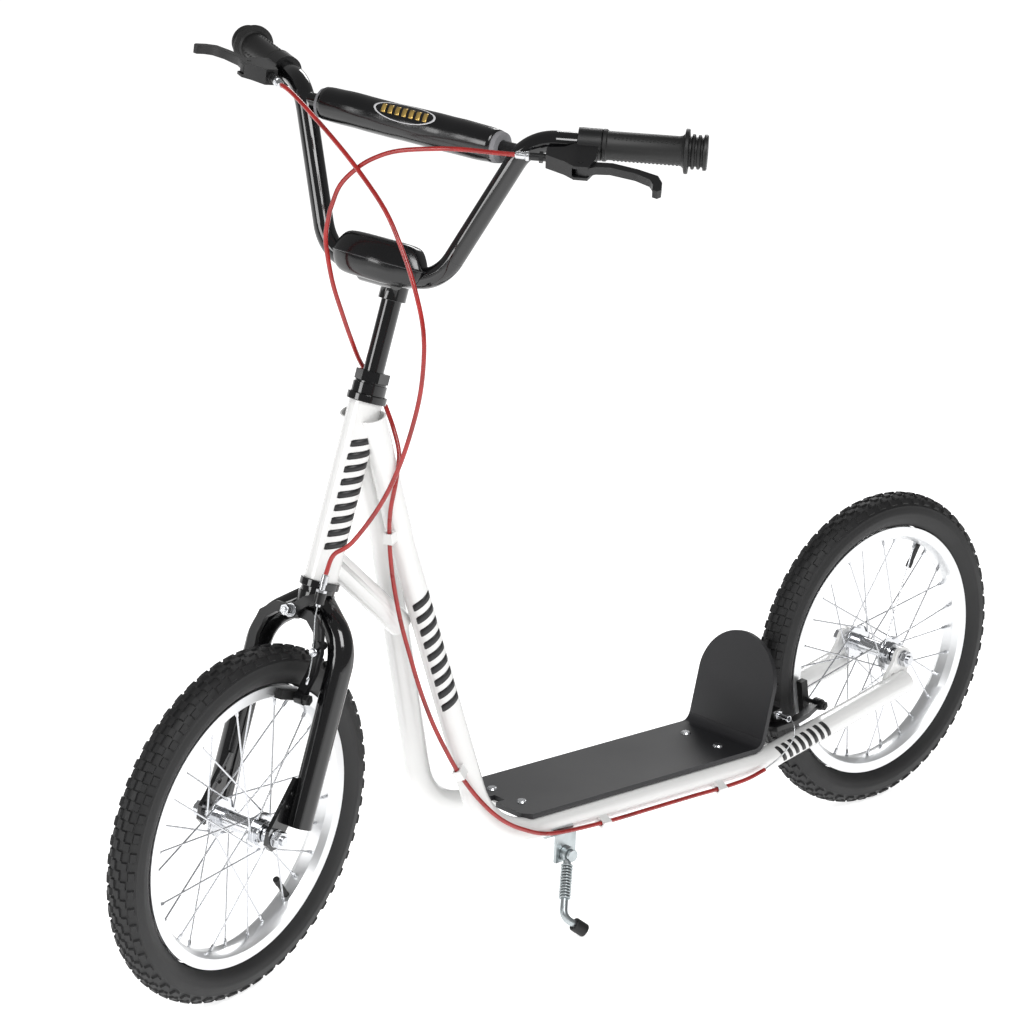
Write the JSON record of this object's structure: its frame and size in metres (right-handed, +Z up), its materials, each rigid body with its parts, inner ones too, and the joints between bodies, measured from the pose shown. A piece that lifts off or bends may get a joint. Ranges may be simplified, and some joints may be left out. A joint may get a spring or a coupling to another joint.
{
  "type": "kick scooter",
  "caption": "Kick scooter with spoked wheels and air tyres, a low deck between twin frame tubes, a padded high bar that turns and slides, rim brakes and a folding side stand.",
  "frame": {"origin": "on the ground, midway between the two axles", "axes": "+X forward, +Y to the rider's left, +Z up"},
  "size_m": [1.3917, 0.6174, 0.9885],
  "materials": {
    "frame_paint": "gloss white",
    "deck_coat": "satin black",
    "bright_steel": "bright plated",
    "rim_alloy": "satin",
    "hub_chrome": "polished",
    "zinc_steel": "zinc plated",
    "black_paint": "gloss black",
    "brake_black": "semi-gloss black",
    "lever_plastic": "satin black",
    "pad_cover": "glossy black cover over foam",
    "grip_rubber": "moulded",
    "tyre_rubber": "blocked tread, smooth walls",
    "tube_rubber": "smooth",
    "cable_cover": "translucent red"
  },
  "bodies": {
    "frame": {"head_tube": "frame_paint", "left_main_tube": "frame_paint", "right_main_tube": "frame_paint", "diagonal_strut": "frame_paint", "deck_crossmembers": "frame_paint", "brake_bridge": "frame_paint", "rear_dropouts": "frame_paint", "cable_clips": "frame_paint", "deck": "deck_coat", "deck_screws": "bright_steel", "headset_cups": "black_paint", "kickstand_bracket": "zinc_steel", "kickstand_bolt": "zinc_steel", "rear_axle": "bright_steel", "rear_brake_bolt": "bright_steel", "rear_cable_lower": "cable_cover"},
    "kickstand": {"kickstand_leg": "zinc_steel", "kickstand_spring": "zinc_steel", "kickstand_foot": "grip_rubber"},
    "rear_wheel": {"rear_tyre": "tyre_rubber", "rear_inner_tube": "tube_rubber", "rear_rim": "rim_alloy", "rear_spokes": "bright_steel", "rear_hub": "hub_chrome"},
    "rear_left_caliper": {"rear_left_arm": "brake_black", "rear_left_pad": "grip_rubber", "rear_cable_stop": "bright_steel"},
    "rear_right_caliper": {"rear_right_arm": "brake_black", "rear_right_pad": "grip_rubber"},
    "fork": {"fork_steerer": "black_paint", "fork_left_leg": "black_paint", "fork_right_leg": "black_paint", "fork_dropouts": "black_paint", "headset_nuts": "black_paint", "front_axle": "bright_steel", "front_brake_bolt": "bright_steel"},
    "front_left_caliper": {"front_left_arm": "brake_black", "front_left_pad": "grip_rubber"},
    "front_right_caliper": {"front_right_arm": "brake_black", "front_right_pad": "grip_rubber", "front_cable_stop": "bright_steel"},
    "front_wheel": {"front_tyre": "tyre_rubber", "front_inner_tube": "tube_rubber", "front_rim": "rim_alloy", "front_spokes": "bright_steel", "front_hub": "hub_chrome"},
    "bar": {"stem": "black_paint", "stem_bolt": "bright_steel", "handlebar": "black_paint", "crossbar_pad": "pad_cover", "stem_pad": "pad_cover", "left_grip": "grip_rubber", "right_grip": "grip_rubber", "left_lever_bracket": "lever_plastic", "right_lever_bracket": "lever_plastic", "front_cable": "cable_cover", "rear_cable_upper": "cable_cover"},
    "left_lever": {"left_brake_lever": "lever_plastic"},
    "right_lever": {"right_brake_lever": "lever_plastic"}
  },
  "joints": [
    {"name": "steering", "type": "hinge", "parent": "frame", "child": "fork", "pos_m": [0.36508, 0, 0.5408], "axis": [-0.284, 0, 0.9588], "range_deg": [-70, 45], "deforming": ["rear_cable_upper"]},
    {"name": "bar_height", "type": "slide", "parent": "fork", "child": "bar", "axis": [-0.284, 0, 0.9588], "range_m": [-0.06, 0], "deforming": ["rear_cable_upper", "front_cable"]},
    {"name": "left_lever_pull", "type": "hinge", "parent": "bar", "child": "left_lever", "pos_m": [0.25355, 0.22163, 0.91374], "axis": [0.3113, 0.3007, 0.9015], "range_deg": [0, 20], "stiffness_Nm_per_rad": 1.5},
    {"name": "right_lever_pull", "type": "hinge", "parent": "bar", "child": "right_lever", "pos_m": [0.34344, -0.20237, 0.95795], "axis": [0.035, -0.1021, -0.9942], "range_deg": [0, 20], "stiffness_Nm_per_rad": 1.5},
    {"name": "front_left_arm_close", "type": "hinge", "parent": "fork", "child": "front_left_caliper", "pos_m": [0.43296, 0.00674, 0.42323], "axis": [-0.9379, -0.2079, -0.2778], "range_deg": [0, 1.7], "deforming": ["front_cable"]},
    {"name": "front_right_arm_close", "type": "hinge", "parent": "fork", "child": "front_right_caliper", "pos_m": [0.43296, 0.00674, 0.42323], "axis": [0.9379, 0.2079, 0.2778], "range_deg": [0, 1.7], "deforming": ["front_cable"]},
    {"name": "rear_left_arm_close", "type": "hinge", "parent": "frame", "child": "rear_left_caliper", "pos_m": [-0.26988, 0, 0.15035], "axis": [0.2028, 0, 0.9792], "range_deg": [0, 1.7], "deforming": ["rear_cable_lower"]},
    {"name": "rear_right_arm_close", "type": "hinge", "parent": "frame", "child": "rear_right_caliper", "pos_m": [-0.26988, 0, 0.15035], "axis": [-0.2028, 0, -0.9792], "range_deg": [0, 1.7], "deforming": ["rear_cable_lower"]},
    {"name": "front_wheel_roll", "type": "hinge", "parent": "fork", "child": "front_wheel", "pos_m": [0.49933, 0.00665, 0.1978], "axis": [-0.1993, 0.9781, -0.059], "continuous": true},
    {"name": "rear_wheel_roll", "type": "hinge", "parent": "frame", "child": "rear_wheel", "pos_m": [-0.5, 0, 0.198], "axis": [0, 1, 0], "continuous": true},
    {"name": "kickstand_fold", "type": "hinge", "parent": "frame", "child": "kickstand", "pos_m": [0.073, 0.065, 0.082], "axis": [0, 1, 0], "range_deg": [0, 90]}
  ],
  "couplings": [
    {"joint": "front_left_arm_close", "follows": "right_lever_pull", "ratio": 0.085},
    {"joint": "front_right_arm_close", "follows": "right_lever_pull", "ratio": 0.085},
    {"joint": "rear_left_arm_close", "follows": "left_lever_pull", "ratio": 0.085},
    {"joint": "rear_right_arm_close", "follows": "left_lever_pull", "ratio": 0.085}
  ]
}
